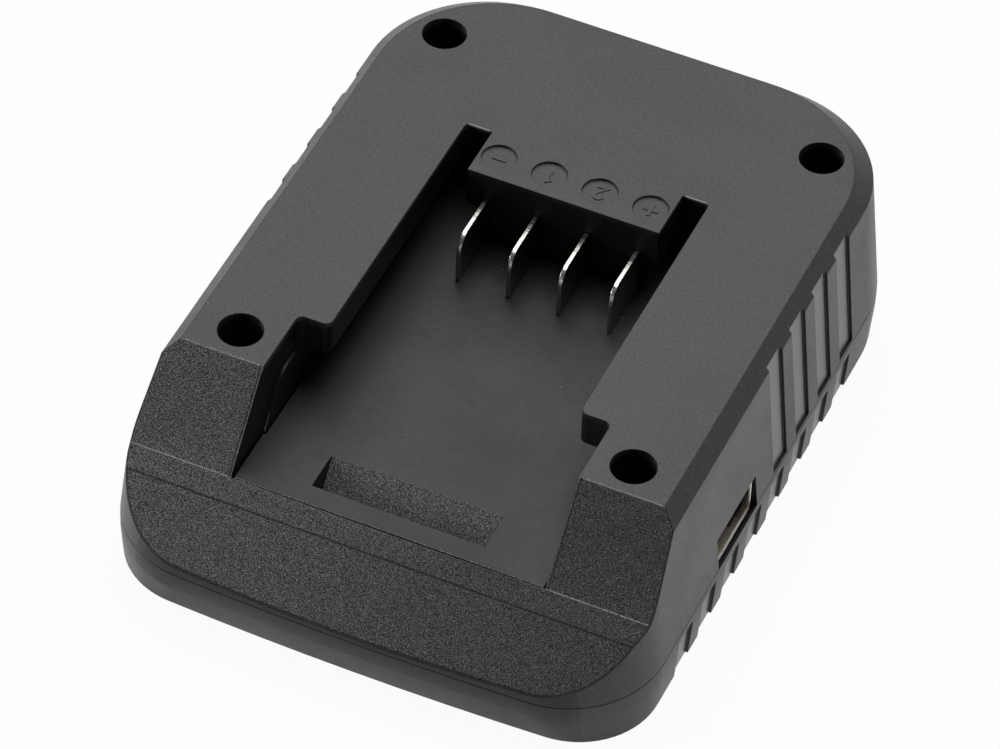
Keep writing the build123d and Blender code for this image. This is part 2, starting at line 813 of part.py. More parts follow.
def board_screws():
    one = screw(board_screw_head_radius, board_screw_head_height, board_screw_radius,
                board_top_z - base_thickness - pilot_extra_depth)
    return screw_group(one, board_screw_spots, board_top_z)


# ---------------------------------------------------------------- write the nodes
def main():
    os.makedirs("parts", exist_ok=True)
    save(top_cover(), "top_cover")
    save(bottom_cover(), "bottom_cover")
    save(dock_floor(), "dock_floor")
    names = ("blade_negative", "blade_signal_a", "blade_signal_b", "blade_positive")
    for name, x in zip(names, blade_xs()):
        save(blade(x), name)
    save(contact_carrier(), "contact_carrier")
    save(circuit_board(), "circuit_board")
    save(usb_shell(), "usb_shell")
    save(usb_tongue(), "usb_tongue")
    save(usb_contacts(), "usb_contacts")
    save(inductor_core(), "inductor_core")
    save(inductor_winding(), "inductor_winding")
    save(can_capacitor(input_cap_at, input_cap_radius, input_cap_height), "input_capacitor")
    save(can_capacitor(output_cap_at, output_cap_radius, output_cap_height), "output_capacitor")
    save(fuse(), "fuse")
    save(leaded_chip(chip_at, chip_size, chip_lead_pitch, chip_lead_count), "converter_chip")
    save(leaded_chip(port_chip_at, port_chip_size, port_chip_lead_pitch, port_chip_lead_count),
         "port_chip")
    save(catch_diode(), "catch_diode")
    save(board_passives(), "board_passives")
    save(housing_screws(), "housing_screws")
    save(floor_screws(), "floor_screws")
    save(board_screws(), "board_screws")


main()
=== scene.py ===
import math

import bmesh
import bpy
from mathutils import Matrix, Vector


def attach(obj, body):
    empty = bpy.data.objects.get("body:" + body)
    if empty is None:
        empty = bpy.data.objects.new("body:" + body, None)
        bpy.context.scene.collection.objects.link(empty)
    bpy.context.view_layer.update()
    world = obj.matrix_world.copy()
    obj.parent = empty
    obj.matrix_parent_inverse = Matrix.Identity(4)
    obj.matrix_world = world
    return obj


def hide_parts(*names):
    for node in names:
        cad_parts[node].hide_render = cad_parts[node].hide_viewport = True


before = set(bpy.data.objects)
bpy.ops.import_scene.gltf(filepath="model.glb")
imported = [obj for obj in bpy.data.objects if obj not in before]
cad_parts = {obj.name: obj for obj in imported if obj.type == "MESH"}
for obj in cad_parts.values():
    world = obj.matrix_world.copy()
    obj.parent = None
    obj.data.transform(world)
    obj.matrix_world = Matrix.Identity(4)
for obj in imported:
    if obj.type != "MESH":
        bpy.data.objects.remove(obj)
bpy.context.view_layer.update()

MM = 0.001
BODY = "root"

# ------------------------------------------------------------------ sizes shared with the CAD frame (mm)
HALF_WIDTH = 40.0
TOP_Z = 30.2
PARTING_Z = 8.1
FOLD_Z = 5.6
WALL_LEAN = 2.05 / 19.75
BASE_LEAN = 0.35 / 5.6
CORNER_AT = (25.5, -39.3)
CORNER_RADIUS = 14.5
FRONT_BULGE = 0.57
SHOULDER_Z = 27.85

# battery channel and sloped front
BROW_Y = -32.1
SILL_Y = -42.2
CREASE_Y = -45.5
ENTRY_HALF = 23.3
SLOT_BACK_Y = 23.5
SLOT_XS = (15.0, 18.2)
PEG_Y = 21.2

# grip flutes: FLUTE_SUNK is how far behind the wall a floor may lie
FLUTE_YS = (-34.2, 28.4)
FLUTE_PITCH = 8.1
FLUTE_LENGTH = 4.64
FLUTE_FOOT_Z = 8.65
FLUTE_SUNK = (0.2, 1.4)
UPPER_FLUTE_Y = 28.24
LOWER_FLUTE_Y = 27.34
LOWER_FLUTES = 8

# blades and the dimples over them
BLADE_XS = (-11.58, -3.86, 3.86, 11.58)
NOSE_RUN = 1.1
NOSE_DROP = 2.1
DIMPLE_Y = 19.25
DIMPLE_FLOOR_Z = 29.75

# screws and what they hold
WELL_X = 29.16
WELL_YS = (-27.37, 39.16)
WELL_RADIUS = 3.2
BOARD_SPOTS = ((20.5, 26.5), (-20.5, -20.5))
TAB_X = 28.0
TAB_Y = -36.5
HOUSING_HEAD_Z = 12.9
BOARD_HEAD_Z = 8.6
FLOOR_HEAD_Z = 12.5
WIDEST_HEAD = 2.8

# USB socket
USB_Y = -13.6
USB_HALF_OPENING = 6.75
USB_OPENING_ZS = (6.5, 13.6)
SHELL_MOUTH_X = 39.05

FUSE_X = 13.5
FUSE_CAPS_FROM = 2.2

# ------------------------------------------------------------------ sizes of what is made here (mm)
COVER_EDGE = 0.12
DOCK_EDGE = 0.1
SHELL_EDGE = 0.1
BLADE_EDGE = 0.13
BLADE_NOSE_RADIUS = 1.1
HEAD_RIM = 0.35
CROSS_ARM = 1.35
CROSS_HALF = 0.32
CROSS_DEPTH = 1.0
# Heights of the painted shade low in the screw crosses
CROSS_SHADE_ZS = (11.0, 12.5)
SIGN_RISE = 0.14
SIGN_SUNK = 0.02
SILL_THICKNESS = 0.4
SILL_INSET = 0.002
SILL_LAP = 0.15
SILL_SIDE_LAP = 0.2
WELD_GAP = 0.0015

# ------------------------------------------------------------------ camera
CAMERA_AT = (0.22712, -0.55683, 0.62273)
CAMERA_AZIMUTH = 22.366
CAMERA_ELEVATION = 45.565
CAMERA_ROLL = 2.685
CAMERA_LENS = 220.77
CAMERA_SENSOR = 36.0


def place_camera():
    az, el, roll = (math.radians(v) for v in (CAMERA_AZIMUTH, CAMERA_ELEVATION, CAMERA_ROLL))
    ahead = Vector((-math.sin(az) * math.cos(el), math.cos(az) * math.cos(el), -math.sin(el)))
    level = Vector((math.cos(az), math.sin(az), 0.0))
    above = level.cross(ahead)
    right = level * math.cos(roll) + above * math.sin(roll)
    up = above * math.cos(roll) - level * math.sin(roll)
    lens = bpy.data.cameras.new("bench_camera")
    lens.sensor_width = CAMERA_SENSOR
    lens.lens = CAMERA_LENS
    camera = bpy.data.objects.new("bench_camera", lens)
    bpy.context.scene.collection.objects.link(camera)
    camera.matrix_world = Matrix((
        (right.x, up.x, -ahead.x, CAMERA_AT[0]),
        (right.y, up.y, -ahead.y, CAMERA_AT[1]),
        (right.z, up.z, -ahead.z, CAMERA_AT[2]),
        (0.0, 0.0, 0.0, 1.0),
    ))
    bpy.context.scene.camera = camera


# ------------------------------------------------------------------ wiring of shader nodes
class Wiring:
    """Adds nodes to one shader tree and joins them."""

    def __init__(self, tree):
        self.tree = tree

    def add(self, kind, **settings):
        node = self.tree.nodes.new(kind)
        for key, value in settings.items():
            setattr(node, key, value)
        return node

    def feed(self, socket, value):
        if isinstance(value, bpy.types.NodeSocket):
            self.tree.links.new(value, socket)
        else:
            socket.default_value = value

    def math(self, operation, a, b=0.0):
        node = self.add("ShaderNodeMath", operation=operation)
        self.feed(node.inputs[0], a)
        self.feed(node.inputs[1], b)
        return node.outputs[0]

    def absolute(self, value):
        return self.math("ABSOLUTE", value)

    def all_of(self, *masks):
        joined = masks[0]
        for mask in masks[1:]:
            joined = self.math("MULTIPLY", joined, mask)
        return joined

    def any_of(self, *masks):
        joined = masks[0]
        for mask in masks[1:]:
            joined = self.math("MAXIMUM", joined, mask)
        return joined

    def above(self, place, level_mm):
        """How far a place lies above a level, or 0 below it."""
        return self.math("MAXIMUM", self.math("SUBTRACT", place, level_mm * MM), 0.0)

    def below(self, place, level_mm):
        """How far a place lies below a level, or 0 above it."""
        return self.math("MAXIMUM", self.math("SUBTRACT", level_mm * MM, place), 0.0)

    def distance(self, off_x, off_y):
        squares = self.math("ADD", self.math("POWER", off_x, 2.0), self.math("POWER", off_y, 2.0))
        return self.math("SQRT", squares)

    def ramp(self, value, low, high, to_low=0.0, to_high=1.0):
        """Smooth step from to_low to to_high while the value goes from low to high."""
        node = self.add("ShaderNodeMapRange", interpolation_type="SMOOTHSTEP")
        self.feed(node.inputs["Value"], value)
        self.feed(node.inputs["From Min"], low)
        self.feed(node.inputs["From Max"], high)
        self.feed(node.inputs["To Min"], to_low)
        self.feed(node.inputs["To Max"], to_high)
        return node.outputs[0]

    def spread(self, mask, at_none, at_full):
        """Number that goes from at_none to at_full with a mask."""
        return self.ramp(mask, 0.0, 1.0, at_none, at_full)

    def fade(self, place, from_mm, to_mm, first, last):
        """Number that goes from first to last between two places."""
        return self.ramp(place, from_mm * MM, to_mm * MM, first, last)

    def rise(self, place, from_mm, to_mm):
        """0 up to one place and 1 past the other."""
        return self.fade(place, from_mm, to_mm, 0.0, 1.0)

    def fall(self, place, from_mm, to_mm):
        """1 up to one place and 0 past the other."""
        return self.fade(place, from_mm, to_mm, 1.0, 0.0)

    def band(self, place, low_mm, high_mm, soft_mm):
        """1 between two places, fading over soft_mm to each side of both."""
        low, high, soft = low_mm * MM, high_mm * MM, soft_mm * MM
        return self.all_of(self.ramp(place, low - soft, low + soft),
                           self.ramp(place, high - soft, high + soft, 1.0, 0.0))

    def blend(self, mask, a, b):
        """Colour a, or colour b where the mask is 1."""
        node = self.add("ShaderNodeMix", data_type="RGBA")
        self.feed(node.inputs[0], mask)
        self.feed(node.inputs[6], a)
        self.feed(node.inputs[7], b)
        return node.outputs[2]

    def blend_value(self, mask, a, b):
        """Number a, or number b where the mask is 1."""
        node = self.add("ShaderNodeMix", data_type="FLOAT")
        self.feed(node.inputs[0], mask)
        self.feed(node.inputs[2], a)
        self.feed(node.inputs[3], b)
        return node.outputs[0]

    def shade(self, colour, factor):
        """Multiply a colour by a grey factor."""
        node = self.add("ShaderNodeVectorMath", operation="SCALE")
        self.feed(node.inputs[0], colour[:3] if isinstance(colour, tuple) else colour)
        self.feed(node.inputs["Scale"], factor)
        return node.outputs[0]

    def stretch(self, vector, scale):
        node = self.add("ShaderNodeVectorMath", operation="MULTIPLY")
        self.feed(node.inputs[0], vector)
        self.feed(node.inputs[1], scale)
        return node.outputs[0]

    def parts(self, vector):
        node = self.add("ShaderNodeSeparateXYZ")
        self.feed(node.inputs[0], vector)
        return node.outputs[0], node.outputs[1], node.outputs[2]

    def noise(self, vector, per_metre, detail, roughness):
        node = self.add("ShaderNodeTexNoise")
        self.feed(node.inputs["Vector"], vector)
        self.feed(node.inputs["Scale"], per_metre)
        self.feed(node.inputs["Detail"], detail)
        self.feed(node.inputs["Roughness"], roughness)
        return node.outputs[0]

    def cells(self, vector, per_metre):
        """Distance to the nearest of many scattered points, and that point's random colour."""
        node = self.add("ShaderNodeTexVoronoi")
        self.feed(node.inputs["Vector"], vector)
        self.feed(node.inputs["Scale"], per_metre)
        return node.outputs["Distance"], node.outputs["Color"]

    def group(self, shared, **values):
        """Outputs of a shared group; an underscore stands for a space in a socket's name."""
        node = self.add("ShaderNodeGroup", node_tree=shared)
        for key, value in values.items():
            self.feed(node.inputs[key.replace("_", " ")], value)
        return node.outputs


# ------------------------------------------------------------------ effects shared by several finishes
VECTOR = "NodeSocketVector"
FLOAT = "NodeSocketFloat"


def start_group(name, inputs, outputs):
    tree = bpy.data.node_groups.new(name, "ShaderNodeTree")
    for label, kind, default in inputs:
        socket = tree.interface.new_socket(name=label, in_out="INPUT", socket_type=kind)
        if default is not None:
            socket.default_value = default
    for label in outputs:
        tree.interface.new_socket(name=label, in_out="OUTPUT", socket_type=FLOAT)
    wiring = Wiring(tree)
    entry = wiring.add("NodeGroupInput")
    leave = wiring.add("NodeGroupOutput")
    return tree, wiring, entry.outputs, leave.inputs


def spark_grain_group():
    """Pitted grain of a spark-eroded mould: a height and a shade, both 0 to 1."""
    tree, w, given, out = start_group(
        "spark_grain",
        [("Vector", VECTOR, None), ("Grains per metre", FLOAT, 5600.0), ("Pits", FLOAT, 0.5)],
        ["Height", "Shade"])
    bumps = w.ramp(w.noise(given["Vector"], given["Grains per metre"], 2.0, 0.7), 0.3, 0.7)
    pits, _ = w.cells(given["Vector"], w.math("MULTIPLY", given["Grains per metre"], 0.8))
    pitted = w.math("MULTIPLY", bumps, w.ramp(pits, 0.15, 0.75))
    height = w.blend_value(given["Pits"], bumps, pitted)
    w.feed(out["Height"], height)
    w.feed(out["Shade"], w.ramp(height, 0.05, 0.85))
    return tree


def handling_group():
    """Uneven gloss from handling, and sparse specks of dust."""
    tree, w, given, out = start_group(
        "handling",
        [("Vector", VECTOR, None), ("Specks per metre", FLOAT, 300.0), ("Speck size", FLOAT, 0.035)],
        ["Smudge", "Specks"])
    broad = w.noise(given["Vector"], 55.0, 3.0, 0.55)
    fine = w.noise(given["Vector"], 900.0, 2.0, 0.5)
    smudge = w.math("ADD", w.math("MULTIPLY", broad, 0.7), w.math("MULTIPLY", fine, 0.3))
    w.feed(out["Smudge"], w.ramp(smudge, 0.3, 0.7))
    nearest, point_colour = w.cells(given["Vector"], given["Specks per metre"])
    spots = w.ramp(nearest, 0.0, given["Speck size"], 1.0, 0.0)
    chosen, _, _ = w.parts(point_colour)
    w.feed(out["Specks"], w.all_of(spots, w.ramp(chosen, 0.9, 0.91)))
    return tree


def drawn_lines_group():
    """Fine parallel lines left by rolling, shearing or brushing along one axis."""
    tree, w, given, out = start_group(
        "drawn_lines",
        [("Vector", VECTOR, None), ("Stretch", VECTOR, (1.0, 0.05, 1.0)),
         ("Lines per metre", FLOAT, 4000.0)],
        ["Height", "Shade"])
    along = w.stretch(given["Vector"], given["Stretch"])
    lines = w.noise(along, given["Lines per metre"], 3.0, 0.6)
    w.feed(out["Height"], lines)
    w.feed(out["Shade"], w.ramp(lines, 0.25, 0.75))
    return tree


GRAIN = spark_grain_group()
HANDLING = handling_group()
LINES = drawn_lines_group()


def start_material(name):
    material = bpy.data.materials.new(name)
    material.use_nodes = True
    tree = material.node_tree
    surface = tree.nodes["Principled BSDF"]
    w = Wiring(tree)
    place = w.add("ShaderNodeTexCoord").outputs["Object"]
    return material, w, surface.inputs, place


def coat(w, surface, colour, roughness, height, depth_mm, strength):
    """Feed a finish's colour, roughness and relief to the surface."""
    w.feed(surface["Base Color"], colour)
    w.feed(surface["Roughness"], roughness)
    bump = w.add("ShaderNodeBump")
    bump.inputs["Strength"].default_value = strength
    bump.inputs["Distance"].default_value = depth_mm * MM
    w.feed(bump.inputs["Height"], height)
    w.feed(surface["Normal"], bump.outputs[0])


# ------------------------------------------------------------------ plastic of the covers and the floor
SATIN_GREY = (0.0685, 0.068, 0.0717, 1.0)
GRAIN_GREY = (0.059, 0.059, 0.0614, 1.0)
GRAIN_DARK = (0.009, 0.009, 0.0094, 1.0)
GRAIN_LIGHT = (0.23, 0.23, 0.238, 1.0)
# Lighter grey of the flute floors: a painted sheen in place of their reflection
FLUTE_SHEEN_GREY = (0.18, 0.18, 0.19, 1.0)
CHANNEL_SHADE_GREY = (0.01, 0.01, 0.0106, 1.0)
DOCK_GREY = (0.016, 0.016, 0.017, 1.0)
# Black for painted shade in the flute corners, on the flute ledges, in the socket opening and in the
# wells, and for the dark joint between the covers
SHADE_AND_JOINT_BLACK = (0.002, 0.002, 0.002, 1.0)
# Greys of the painted highlight lines on edges and of the painted shadow lines in creases
HIGHLIGHT_LINE_GREY = (0.4, 0.4, 0.405, 1.0)
SHADOW_LINE_BLACK = (0.006, 0.006, 0.007, 1.0)
DUST = (0.42, 0.42, 0.42, 1.0)
# Colour factor of the painted shade on the front wall
FRONT_PAINTED_SHADE = 0.27
COVER_GLOSS = 0.3
SATIN_GRAINS = 3800.0
SLOPE_GRAINS = 7600.0
UNDERSIDE_GRAINS = 2200.0
LIT_TO_SHADED_XS = (-40.0, 36.0)
SHADE_TO_HOOD_YS = (-26.0, 10.0)


def satin_base(w, place, colour, roughness):
    """Fine satin texture of a polished mould: colour, roughness and height."""
    grain = w.group(GRAIN, Vector=place, Grains_per_metre=SATIN_GRAINS, Pits=0.25)
    marks = w.group(HANDLING, Vector=place)
    tint = w.shade(colour, w.spread(grain["Shade"], 0.8, 1.18))
    tint = w.blend(w.math("MULTIPLY", marks["Specks"], 0.5), tint, DUST)
    rough = w.spread(marks["Smudge"], roughness - 0.03, roughness + 0.05)
    height = w.math("MULTIPLY", grain["Height"], 0.12)
    return tint, rough, height


def grained_zone(w, place, grains_per_metre):
    """Coarse grain of the slopes and the underside: colour, roughness and height."""
    grain = w.group(GRAIN, Vector=place, Grains_per_metre=grains_per_metre, Pits=0.35)
    colour = w.blend(w.ramp(grain["Shade"], 0.0, 0.5), GRAIN_DARK, GRAIN_GREY)
    colour = w.blend(w.ramp(grain["Shade"], 0.6, 1.0), colour, GRAIN_LIGHT)
    return colour, w.spread(grain["Shade"], 0.72, 0.5), grain["Height"]


def facing(w):
    """The three parts of the direction that a face looks in."""
    geometry = w.add("ShaderNodeNewGeometry")
    return w.parts(geometry.outputs["True Normal"])


def slope_mask(w, normal):
    """1 on faces that look forwards and upwards."""
    nx, ny, nz = normal
    level_across = w.ramp(w.absolute(nx), 0.05, 0.12, 1.0, 0.0)
    forward = w.ramp(ny, -0.36, -0.3, 1.0, 0.0)
    upward = w.ramp(nz, 0.3, 0.36)
    return w.all_of(level_across, forward, upward)


def flute_mask(w, place, normal):
    """1 on the sunk floors of the flutes in the long sides."""
    x, y, z = w.parts(place)
    upright = w.ramp(w.absolute(normal[0]), 0.9, 0.95)
    lean = w.math("MULTIPLY", w.above(z, PARTING_Z), WALL_LEAN)
    fold = w.math("MULTIPLY", w.below(z, FOLD_Z), BASE_LEAN)
    wall = w.math("SUBTRACT", w.math("SUBTRACT", HALF_WIDTH * MM, lean), fold)
    sunk = w.math("SUBTRACT", wall, w.absolute(x))
    return w.all_of(upright, w.band(y, *FLUTE_YS, 0.05), w.band(sunk, *FLUTE_SUNK, 0.05))


def flute_shadow_mask(w, place, first_y):
    """1 beside the rear wall of each flute and just above its foot, where shadow is painted black; first_y
    is where one flute ends.
    """
    _, y, z = w.parts(place)
    from_rear = w.math("FLOORED_MODULO", w.math("SUBTRACT", first_y * MM, y), FLUTE_PITCH * MM)
    return w.any_of(w.fall(from_rear, 0.4, 0.46), w.band(z, PARTING_Z, FLUTE_FOOT_Z + 0.2, 0.03))


def ledge_shade_mask(w, place, normal):
    """1 on the narrow end walls and feet of the flutes and on the sides of the socket opening, all painted
    black as painted shade.
    """
    x, y, z = w.parts(place)
    end_wall = w.ramp(w.absolute(normal[1]), 0.45, 0.6)
    foot = w.all_of(w.ramp(normal[2], 0.5, 0.7), w.band(z, PARTING_Z + 0.3, FLUTE_FOOT_Z + 0.3, 0.03))
    near_side = w.rise(w.absolute(x), HALF_WIDTH - 3.8, HALF_WIDTH - 3.4)
    return w.all_of(w.any_of(end_wall, foot), w.band(y, *FLUTE_YS, 0.05), near_side)


def joint_mask(w, place):
    """1 on the broken edges where the two covers meet."""
    return w.band(w.parts(place)[2], PARTING_Z - 0.07, PARTING_Z + 0.07, 0.03)


def front_shade_mask(w, normal):
    """1 on the upright front wall, fading round the corners, where the colour is darkened as painted
    shade.
    """
    return w.ramp(normal[1], -0.94, -0.78, 1.0, 0.0)


def socket_shade_mask(w, place, normal):
    """1 on the cut faces of the opening for the USB socket, painted black as painted shade."""
    x, y, z = w.parts(place)
    cut = w.ramp(w.absolute(normal[0]), 0.4, 0.6, 1.0, 0.0)
    half = USB_HALF_OPENING + 0.02
    low, high = USB_OPENING_ZS
    return w.all_of(cut, w.rise(x, HALF_WIDTH - 5.0, HALF_WIDTH - 4.8),
                    w.band(y, USB_Y - half, USB_Y + half, 0.02), w.band(z, low - 0.05, high + 0.05, 0.02))


def rim_distance(w, place):
    """Distance inwards from the leaning sides, the front corners and the bowed front."""
    x, y, z = w.parts(place)
    from_corner = w.distance(w.above(w.absolute(x), CORNER_AT[0]), w.below(y, CORNER_AT[1]))
    lean = w.math("MULTIPLY", w.math("SUBTRACT", z, PARTING_Z * MM), WALL_LEAN)
    radius = w.math("SUBTRACT", CORNER_RADIUS * MM, lean)
    off_middle = w.math("POWER", w.math("DIVIDE", w.absolute(x), CORNER_AT[0] * MM), 2.0)
    bow = w.math("MAXIMUM", w.math("SUBTRACT", 1.0, off_middle), 0.0)
    radius = w.math("ADD", radius, w.math("MULTIPLY", bow, FRONT_BULGE * MM))
    return w.math("SUBTRACT", radius, from_corner)


def well_shade_mask(w, place):
    """1 inside the four screw wells, from just below their rims, painted black as painted shade."""
    x, y, z = w.parts(place)
    off_x = w.math("SUBTRACT", w.absolute(x), WELL_X * MM)
    front, rear = (w.absolute(w.math("SUBTRACT", y, spot * MM)) for spot in WELL_YS)
    from_axis = w.distance(off_x, w.math("MINIMUM", front, rear))
    return w.all_of(w.fall(from_axis, WELL_RADIUS + 0.02, WELL_RADIUS + 0.1),
                    w.fall(z, TOP_Z - 1.6, TOP_Z - 0.3))


def channel_shade_mask(w, place):
    """1 inside the battery channel and its slots, below the top plane, where the colour is darkened as
    painted shade.
    """
    x, y, z = w.parts(place)
    return w.all_of(w.fall(w.absolute(x), ENTRY_HALF + 0.6, ENTRY_HALF + 0.8),
                    w.band(y, SILL_Y + 0.05, SLOT_BACK_Y + 0.3, 0.05),
                    w.fall(z, TOP_Z - 0.9, TOP_Z - 0.65))


def slot_end_highlight_mask(w, place):
    """1 on the top edges at the rear ends of the two slots, which get a painted highlight."""
    x, y, z = w.parts(place)
    return w.all_of(w.band(y, SLOT_BACK_Y, SLOT_BACK_Y + 0.2, 0.05),
                    w.band(w.absolute(x), *SLOT_XS, 0.2), w.rise(z, TOP_Z - 0.4, TOP_Z - 0.2))


def highlit_line_mask(w, place):
    """1 along the sill, the brow and the sides of the channel's entry, where painted highlights go."""
    x, y, _ = w.parts(place)
    sill = w.band(y, SILL_Y - 0.05, SILL_Y + 0.09, 0.04)
    brow = w.band(y, BROW_Y - 0.17, BROW_Y + 0.1, 0.04)
    entry = w.band(w.absolute(x), ENTRY_HALF - 0.1, ENTRY_HALF + 0.16, 0.04)
    return w.any_of(sill, brow, w.all_of(entry, w.rise(y, SILL_Y - 0.1, SILL_Y)))


def shadow_line_mask(w, place):
    """1 along the crease, just beside the channel's entry and along the front's rim, where painted shadow
    goes.
    """
    x, y, z = w.parts(place)
    crease = w.band(y, CREASE_Y - 0.1, CREASE_Y + 0.13, 0.07)
    entry = w.band(w.absolute(x), ENTRY_HALF + 0.3, ENTRY_HALF + 0.48, 0.05)
    rim = w.band(rim_distance(w, place), -0.3, 0.24, 0.05)
    return w.any_of(crease, w.all_of(entry, w.rise(y, SILL_Y - 0.1, SILL_Y)),
                    w.all_of(rim, w.fall(z, SHOULDER_Z, SHOULDER_Z + 0.2)))


def cover_satin(w, place, normal, roughness, flute_roughness, first_flute_y, *gaps):
    """Satin of a cover: flute floors painted lighter as a painted sheen, painted shadow black in the flute
    corners and on the ledges, black gaps, and painted shade on the front wall.
    """
    colour, rough, height = satin_base(w, place, SATIN_GREY, roughness)
    flutes = flute_mask(w, place, normal)
    colour = w.blend(flutes, colour, FLUTE_SHEEN_GREY)
    corners = w.all_of(flutes, flute_shadow_mask(w, place, first_flute_y))
    colour = w.blend(w.any_of(corners, ledge_shade_mask(w, place, normal), *gaps), colour, SHADE_AND_JOINT_BLACK)
    colour = w.shade(colour, w.spread(front_shade_mask(w, normal), 1.0, FRONT_PAINTED_SHADE))
    return colour, w.blend_value(flutes, rough, flute_roughness), height


def sloped_front(w, place):
    """Coarse grain of the slopes, with painted highlights on the edges and painted shadow in the creases.
    """
    colour, rough, height = grained_zone(w, place, SLOPE_GRAINS)
    x, _, _ = w.parts(place)
    # Painted light: paler to the left, where more light falls, darker to the right
    colour = w.shade(colour, w.fade(x, *LIT_TO_SHADED_XS, 1.24, 0.78))
    highlit = w.all_of(highlit_line_mask(w, place), w.ramp(height, 0.1, 0.6, 0.2, 1.0))
    colour = w.blend(highlit, colour, HIGHLIGHT_LINE_GREY)
    shadow = shadow_line_mask(w, place)
    colour = w.blend(w.math("MULTIPLY", shadow, 0.8), colour, SHADOW_LINE_BLACK)
    return colour, rough, w.math("SUBTRACT", height, w.math("MULTIPLY", shadow, 1.2))


def housing_top_finish():
    material, w, surface, place = start_material("housing_top_satin")
    normal = facing(w)
    colour, rough, height = cover_satin(w, place, normal, 0.4, 0.3, UPPER_FLUTE_Y)
    colour = w.blend(w.math("MULTIPLY", slot_end_highlight_mask(w, place), 0.7), colour, HIGHLIGHT_LINE_GREY)
    colour = w.blend(joint_mask(w, place), colour, SHADE_AND_JOINT_BLACK)
    colour = w.blend(channel_shade_mask(w, place), colour, CHANNEL_SHADE_GREY)
    colour = w.blend(socket_shade_mask(w, place, normal), colour, SHADE_AND_JOINT_BLACK)
    ahead_of_brow = w.rise(w.parts(place)[1], BROW_Y + 1.6, BROW_Y + 1.1)
    grained = w.all_of(slope_mask(w, normal), ahead_of_brow)
    grain_colour, grain_rough, grain_height = sloped_front(w, place)
    wells = well_shade_mask(w, place)
    colour = w.blend(wells, w.blend(grained, colour, grain_colour), SHADE_AND_JOINT_BLACK)
    rough = w.blend_value(wells, w.blend_value(grained, rough, grain_rough), 0.9)
    height = w.blend_value(grained, height, grain_height)
    coat(w, surface, colour, rough, height, depth_mm=0.05, strength=0.8)
    surface["Specular IOR Level"].default_value = COVER_GLOSS
    return material


def housing_base_finish():
    material, w, surface, place = start_material("housing_base_satin")
    normal = facing(w)
    colour, rough, height = cover_satin(w, place, normal, 0.42, 0.32, LOWER_FLUTE_Y,
                                        socket_shade_mask(w, place, normal), joint_mask(w, place))
    under = w.ramp(normal[2], -0.95, -0.9, 1.0, 0.0)
    grain_colour, grain_rough, grain_height = grained_zone(w, place, UNDERSIDE_GRAINS)
    coat(w, surface, w.blend(under, colour, grain_colour), w.blend_value(under, rough, grain_rough),
         w.blend_value(under, height, grain_height), depth_mm=0.05, strength=0.7)
    surface["Specular IOR Level"].default_value = COVER_GLOSS
    return material


def dock_floor_finish():
    """Dusty satin with painted shade darkening it towards the hood, darker at the sill, with grained
    ramps.
    """
    material, w, surface, place = start_material("dock_floor_satin")
    colour, rough, height = satin_base(w, place, DOCK_GREY, 0.5)
    dust = w.group(HANDLING, Vector=place, Specks_per_metre=900.0, Speck_size=0.1)
    _, y, _ = w.parts(place)
    colour = w.shade(colour, w.fade(y, *SHADE_TO_HOOD_YS, 1.0, 0.12))
    colour = w.shade(colour, w.fade(y, SILL_Y, SILL_Y + 9.0, 0.74, 1.0))
    colour = w.blend(dust["Specks"], colour, DUST)
    ramps = slope_mask(w, facing(w))
    grain_colour, grain_rough, grain_height = grained_zone(w, place, SLOPE_GRAINS)
    colour = w.blend(ramps, colour, w.shade(grain_colour, 2.0))
    coat(w, surface, colour, w.blend_value(ramps, rough, grain_rough),
         w.blend_value(ramps, height, grain_height), depth_mm=0.05, strength=0.8)
    surface["IOR"].default_value = 1.5
    return material


# ------------------------------------------------------------------ finishes of the inner parts
def plain_finish(name, colour, roughness, depth_mm=0.05, strength=0.6):
    material, w, surface, place = start_material(name)
    tint, rough, height = satin_base(w, place, colour, roughness)
    coat(w, surface, tint, rough, height, depth_mm, strength)
    return material


def fuse_finish():
    """Pale body with a metal cap at each end."""
    material, w, surface, place = start_material("fuse_body")
    from_middle = w.absolute(w.math("SUBTRACT", w.parts(place)[0], FUSE_X * MM))
    caps = w.rise(from_middle, FUSE_CAPS_FROM - 0.05, FUSE_CAPS_FROM + 0.05)
    tint, rough, height = satin_base(w, place, (0.7, 0.67, 0.58, 1.0), 0.4)
    tint = w.blend(caps, tint, (0.6, 0.6, 0.58, 1.0))
    coat(w, surface, tint, rough, height, depth_mm=0.03, strength=0.5)
    w.feed(surface["Metallic"], caps)
    return material


def board_finish():
    """Green solder mask over copper runs, with the bare laminate on the cut edges."""
    material, w, surface, place = start_material("board_solder_mask")
    runs = w.add("ShaderNodeTexBrick", offset=0.37)
    w.feed(runs.inputs["Vector"], place)
    for label, value in (("Scale", 210.0), ("Mortar Size", 0.06), ("Mortar Smooth", 0.1),
                         ("Brick Width", 1.9), ("Row Height", 0.42)):
        runs.inputs[label].default_value = value
    copper = w.ramp(runs.outputs["Fac"], 0.4, 0.6)
    weave = w.group(GRAIN, Vector=place, Grains_per_metre=1800.0, Pits=0.2)
    mask = w.blend(copper, (0.012, 0.085, 0.035, 1.0), (0.02, 0.14, 0.06, 1.0))
    mask = w.shade(mask, w.spread(weave["Shade"], 0.9, 1.1))
    edge = w.ramp(w.absolute(facing(w)[2]), 0.4, 0.6, 1.0, 0.0)
    colour = w.blend(edge, mask, (0.28, 0.26, 0.13, 1.0))
    coat(w, surface, colour, w.spread(weave["Shade"], 0.28, 0.38), copper, depth_mm=0.03, strength=0.5)
    return material


